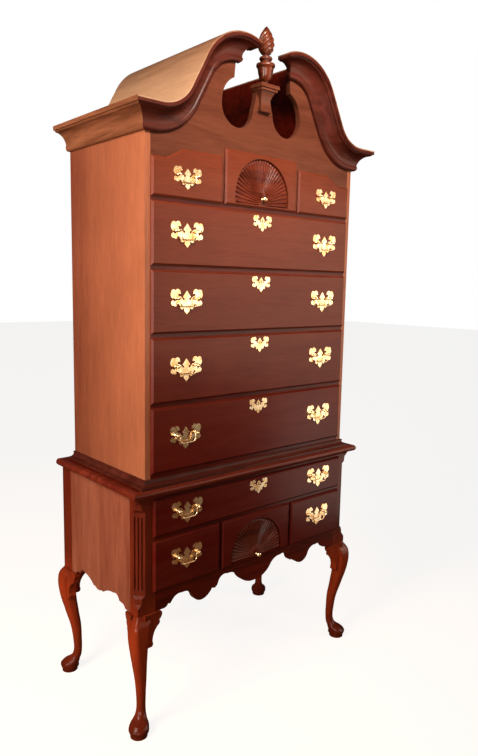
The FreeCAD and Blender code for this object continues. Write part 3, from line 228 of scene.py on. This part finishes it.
def carved_fan(name, drawer, foot, middle, knob):
    """The rays as one surface over angle a, from level right to level left, and distance.

    The upper rays start at the knob, and lower ones below it, by sink times (1 - sin(a))^2, so
    that the lowest two run level along the field's foot.  Distance runs to a circle of radius
    reach about the middle of the field: d sin(a) + sqrt(reach^2 - d^2 cos^2(a)), with d the
    start's height below the middle.  Across a ray, from -1 to 1, the wood falls away from the
    crest as 1 - sqrt(1 - s^2), times steep and the ray's half width, and the tip draws in by the
    same curve.  Along it the crest leaves the hub a little proud of the drawer's face, dips to
    4.2 mm below it and comes back to 0.4 mm at the tip, where it rounds down to the bed.  Sizes
    are in mm, with heights above the drawer's lower edge and depths below its face.
    """
    rays = 31
    reach = 113.5
    bed = 7.3
    hub = 23.0
    hub_slope = 10.0
    proud = 0.9
    tip_depth = 0.4
    dip_depth = 3.8
    steep = 1.5
    tip_start = 0.9
    tip_pull = 0.6
    end_drop = 3.0
    rows_along, rows_tip, columns_each = 22, 8, 12

    columns = rays * columns_each + 1
    angle = np.linspace(0, math.pi, columns)
    across = np.linspace(0, rays, columns) % 1 * 2 - 1
    half_pitch = math.pi / rays / 2
    fall = 1 - np.sqrt(1 - (0.985 * across) ** 2)
    sink = knob - foot - 1
    lowered = 1 - np.sin(angle)
    start = knob - sink * lowered ** 2

    tip = np.sin(np.linspace(0.1, 1, rows_tip) * math.pi / 2)
    share = np.concatenate([np.linspace(0.02, tip_start, rows_along),
                            tip_start + (1 - tip_start) * tip])[:, None]
    drop = middle - start
    edge = drop * np.sin(angle) + np.sqrt(reach ** 2 - (drop * np.cos(angle)) ** 2)
    radius = share * (edge - tip_pull * fall * reach * half_pitch)

    half_width = (radius + 2 * sink * lowered) * half_pitch
    crest = tip_depth + dip_depth * np.sin(math.pi * share ** 1.3)
    clear = np.clip((radius - hub) / hub_slope, 0, 1) ** 0.5
    rounded = end_drop * np.clip((share - 0.92) / 0.08, 0, 1) ** 3
    depth = (crest + proud) * clear - proud + steep * half_width * fall + rounded
    depth = np.minimum(depth, bed - 0.1)
    radius = np.vstack([radius, radius[-1]])
    depth = np.vstack([depth, np.full(columns, bed)])
    depth[:, [0, -1]] = bed

    corner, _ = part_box(drawer)
    points = np.stack([radius * np.cos(angle), depth, radius * np.sin(angle) + start], axis=-1)
    points = points / 1000 + [0, corner.y, corner.z]
    index = np.arange(radius.size).reshape(radius.shape)
    faces = np.stack([index[:-1, :-1], index[1:, :-1], index[1:, 1:], index[:-1, 1:]], axis=-1)
    return shaped(name, points.reshape(-1, 3), faces.reshape(-1, 4))


def shaped(name, points, faces):
    """A smooth-shaded piece from its points and four-sided faces."""
    mesh = bpy.data.meshes.new(name)
    mesh.from_pydata(points.tolist(), [], faces.tolist())
    mesh.polygons.foreach_set("use_smooth", np.ones(len(mesh.polygons), bool))
    mesh.update()
    made = bpy.data.objects.new(name, mesh)
    bpy.context.scene.collection.objects.link(made)
    return made


# Each shell's field foot, field middle and knob, in mm above its drawer's lower edge.
shells = {"row1_centre": (9.0, 36.0, 29.0), "row7_centre": (7.0, 25.0, 15.0)}
shell_cherry = cherry("shell_cherry", "X", "#4E1C10", "#74301E", gloss=0.26, figure=38.0)
for row, (foot, middle, knob) in shells.items():
    fan = carved_fan("fan_" + row, "drawer_" + row, foot, middle, knob)
    fan.data.materials.append(shell_cherry)
    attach(fan, "drawer_body_" + row)

# ---------------------------------------------------------------------------------------------
# Finial.  Turned from one block: a cup with a thin rim, a bead, and a flame that is an egg
# carved with seven flutes winding two thirds of the way round on their way up.


def turned_flame(name, node_name):
    """The finial as one surface over angle a and height.

    The cup and bead follow the turned outline below, of radius and height.  The flame rises
    from the neck to the tip as t goes from 0 to 1.  Its radius is the neck's times (1 - t)^2
    plus sin(pi t^0.85)^0.75 times the belly's.  A flute takes away up to 0.24 of that, by
    1 - |sin(flutes (a - wind t) / 2)|, and grows in and dies out as sqrt(sin(pi t^0.7)).
    Sizes are in mm.
    """
    outline = np.array([
        (0, 0), (12, 0), (12, 3), (8.6, 4.6), (7.0, 8.0), (10.5, 12.5), (17.1, 18.0), (20.5, 25),
        (22.6, 34), (24.4, 43), (25.5, 54), (29.0, 55), (29.8, 57), (29.8, 61.5), (28.5, 64),
        (23.5, 65.6), (20, 67.5), (16.5, 69.6), (14, 72), (14, 74.5), (19, 75.5), (20.4, 78),
        (20.4, 82), (18.5, 84.5), (9, 86.5), (8.6, 88.5)])
    neck_radius = 9.5
    neck_height = 91.0
    belly = 23.0
    flutes = 7
    flute_depth = 0.24
    wind = 4.2
    rows, columns = 60, 140

    bottom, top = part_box(node_name)
    height = (top.z - bottom.z) * 1000
    t = np.sin(np.linspace(0, 1, rows) * math.pi / 2)
    egg = np.stack([neck_radius * (1 - t) ** 2 + belly * np.sin(math.pi * t ** 0.85) ** 0.75,
                    neck_height + (height - neck_height) * t], axis=-1)
    egg[-1, 0] = 0
    climb = np.concatenate([np.zeros(len(outline)), t])[:, None]
    outline = np.vstack([outline, egg])

    angle = np.linspace(0, 2 * math.pi, columns, endpoint=False)[None, :]
    swell = np.sin(math.pi * climb ** 0.7) ** 0.5
    groove = 1 - np.abs(np.sin((angle - wind * climb) * flutes / 2))
    radius = outline[:, :1] * (1 - flute_depth * swell * groove)
    centre = (bottom + top) / 2
    level = np.broadcast_to(outline[:, 1:], radius.shape)
    points = np.stack([radius * np.cos(angle), radius * np.sin(angle), level], axis=-1)
    points = points / 1000 + [centre.x, centre.y, bottom.z]

    index = np.arange(radius.size).reshape(radius.shape)
    index = np.hstack([index, index[:, :1]])
    faces = np.stack([index[:-1, :-1], index[:-1, 1:], index[1:, 1:], index[1:, :-1]], axis=-1)
    made = shaped(name, points.reshape(-1, 3), faces.reshape(-1, 4))
    # The foot's middle and the tip, each a ring without width, are drawn to one point.
    made.modifiers.new("poles", "WELD").merge_threshold = 1e-6
    return made


flame_cherry = cherry("flame_cherry", "Z", "#3E180C", "#6E321C", figure=20.0, gloss=0.2)
flame_cherry.node_tree.nodes["Principled BSDF"].inputs["Coat Weight"].default_value = 0.7
flame = turned_flame("flame_finial", "finial")
flame.data.materials.append(flame_cherry)
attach(flame, "case")
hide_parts("finial")

# ---------------------------------------------------------------------------------------------
# Brasses.  Willow plates, bails, escutcheons and knobs of cast brass, polished and toned to an
# antique gold under clear lacquer, with darker tarnish left in clouds.

tarnish_wide = 18.0
dimple_wide = 6.0
brass = bpy.data.materials.new("brass")
brass.use_nodes = True
tree = brass.node_tree
shader = tree.nodes["Principled BSDF"]
place = node(tree, "TexCoord", {}).outputs["Object"]
cloud = node(tree, "TexNoise", {"Vector": place, "Scale": 1000 / tarnish_wide,
                                "Detail": 3}).outputs["Fac"]
polished = node(tree, "MapRange", {"Value": cloud, "From Min": 0.35,
                                   "From Max": 0.65}).outputs["Result"]
gold = node(tree, "Mix", {"Factor": polished, "A": srgb("#DCB078"), "B": srgb("#F8E2BE")},
            data_type="RGBA").outputs[2]
tree.links.new(gold, shader.inputs["Base Color"])
cast = node(tree, "TexNoise", {"Vector": place, "Scale": 1000 / dimple_wide,
                               "Detail": 2}).outputs["Fac"]
dimples = node(tree, "Bump", {"Height": cast, "Strength": 0.5, "Distance": 0.0004})
tree.links.new(dimples.outputs["Normal"], shader.inputs["Normal"])
shader.inputs["Metallic"].default_value = 1.0
shader.inputs["Roughness"].default_value = 0.24
brasses = [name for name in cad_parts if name.startswith(("brasses_", "bail_"))]
dress(brasses, brass, 0.5)

# ---------------------------------------------------------------------------------------------
# Room.  A plain pale floor that throws warm light back up, and a surround that is white to the
# eye but lights the object only a little, and is hardly mirrored, so that the lacquer stays dark.

bpy.ops.mesh.primitive_plane_add(size=40, location=(0, 0, 0))
floor = bpy.context.object
floor.name = "floor"
pale_floor = bpy.data.materials.new("pale_floor")
pale_floor.use_nodes = True
tree = pale_floor.node_tree
shader = tree.nodes["Principled BSDF"]
seen = node(tree, "LightPath", {}).outputs["Is Camera Ray"]
boards = node(tree, "Mix", {"Factor": seen, "A": srgb("#94602F"), "B": srgb("#9A8366")},
              data_type="RGBA").outputs[2]
tree.links.new(boards, shader.inputs["Base Color"])
shader.inputs["Roughness"].default_value = 0.8
shader.inputs["Emission Color"].default_value = srgb("#FFFFFF")
glare = node(tree, "MapRange", {"Value": seen, "To Max": 0.87}).outputs["Result"]
tree.links.new(glare, shader.inputs["Emission Strength"])
floor.data.materials.append(pale_floor)

world = bpy.data.worlds.new("studio")
bpy.context.scene.world = world
world.use_nodes = True
tree = world.node_tree
background = tree.nodes["Background"]
path = node(tree, "LightPath", {}).outputs
dim = node(tree, "MapRange", {"Value": path["Is Glossy Ray"], "To Min": 0.09,
                              "To Max": 0.04}).outputs["Result"]
glow = node(tree, "Mix", {"Factor": path["Is Camera Ray"], "A": dim, "B": 1.0}).outputs["Result"]
background.inputs["Color"].default_value = srgb("#FFFFFF")
tree.links.new(glow, background.inputs["Strength"])

# ---------------------------------------------------------------------------------------------
# Lamps.  Two soft windows light the left side, high and low, and two small lamps the top and
# the right of the front.  Two pale panels on the right and a wall behind the camera are only
# mirrored, by brass and lacquer.


def lamp(name, place, aim, wide, tall, watts, warmth, spread=180.0, lean=0.0):
    """A soft box, whose light may be narrowed to a spread and itself leant over, in degrees."""
    light = bpy.data.lights.new(name, "AREA")
    light.shape = "RECTANGLE"
    light.size = wide
    light.size_y = tall
    light.energy = watts
    light.color = srgb(warmth)[:3]
    light.spread = math.radians(spread)
    made = bpy.data.objects.new(name, light)
    bpy.context.scene.collection.objects.link(made)
    made.location = place
    facing = (Vector(aim) - Vector(place)).to_track_quat("-Z", "Y").to_matrix()
    made.rotation_euler = (facing @ Matrix.Rotation(math.radians(lean), 3, "Z")).to_euler()
    made.visible_camera = False
    return made


lamp("window", (-1.9, -0.42, 1.95), (-0.5, -0.15, 1.5),
     wide=0.8, tall=1.2, watts=46, warmth="#FFF0DE")
lamp("front", (-0.3, -1.45, 2.6), (0.0, -0.2, 2.0),
     wide=0.8, tall=0.5, watts=12, warmth="#FFF2E4", spread=76)
lamp("low_window", (-3.2, -0.6, 0.8), (-0.4, -0.2, 0.35),
     wide=1.2, tall=1.2, watts=50, warmth="#FFF0DE")
panel = lamp("panel", (2.3, -2.6, 1.42), (0.0, -0.2, 1.4),
             wide=2.4, tall=1.6, watts=38, warmth="#FFECD4", lean=-6.0)
right = lamp("right", (1.15, -1.25, 1.3), (0.35, -0.2, 1.1),
             wide=0.6, tall=0.8, watts=3.5, warmth="#FFE8D0", spread=110)
low_panel = lamp("low_panel", (1.48, -1.27, 0.38), (0.3, -0.23, 0.6),
                 wide=0.5, tall=0.75, watts=3.1, warmth="#FFF4E4")
wall = lamp("wall", (-3.4, -4.0, 1.5), (0.0, -0.2, 1.2),
            wide=3.0, tall=2.4, watts=160, warmth="#FFF6EC")
right.visible_glossy = False
for mirrored in (panel, low_panel, wall):
    mirrored.visible_diffuse = False

# ---------------------------------------------------------------------------------------------
# Camera, standing at the front left corner at chest height and looking a little down.  Its
# place is in m, and its heading, tilt and roll are in degrees.

camera = bpy.data.objects.new("camera", bpy.data.cameras.new("camera"))
bpy.context.scene.collection.objects.link(camera)
bpy.context.scene.camera = camera
camera.data.lens = 30.94
camera.data.sensor_width = 36.0
stand = Matrix.Translation((-1.4717, -1.8043, 1.3980))
heading = Matrix.Rotation(math.radians(-41.2647), 4, "Z")
tilt = Matrix.Rotation(math.radians(90 - 8.1119), 4, "X")
roll = Matrix.Rotation(math.radians(1.1181), 4, "Z")
camera.matrix_world = stand @ heading @ tilt @ roll

bpy.context.scene.view_settings.view_transform = "Standard"
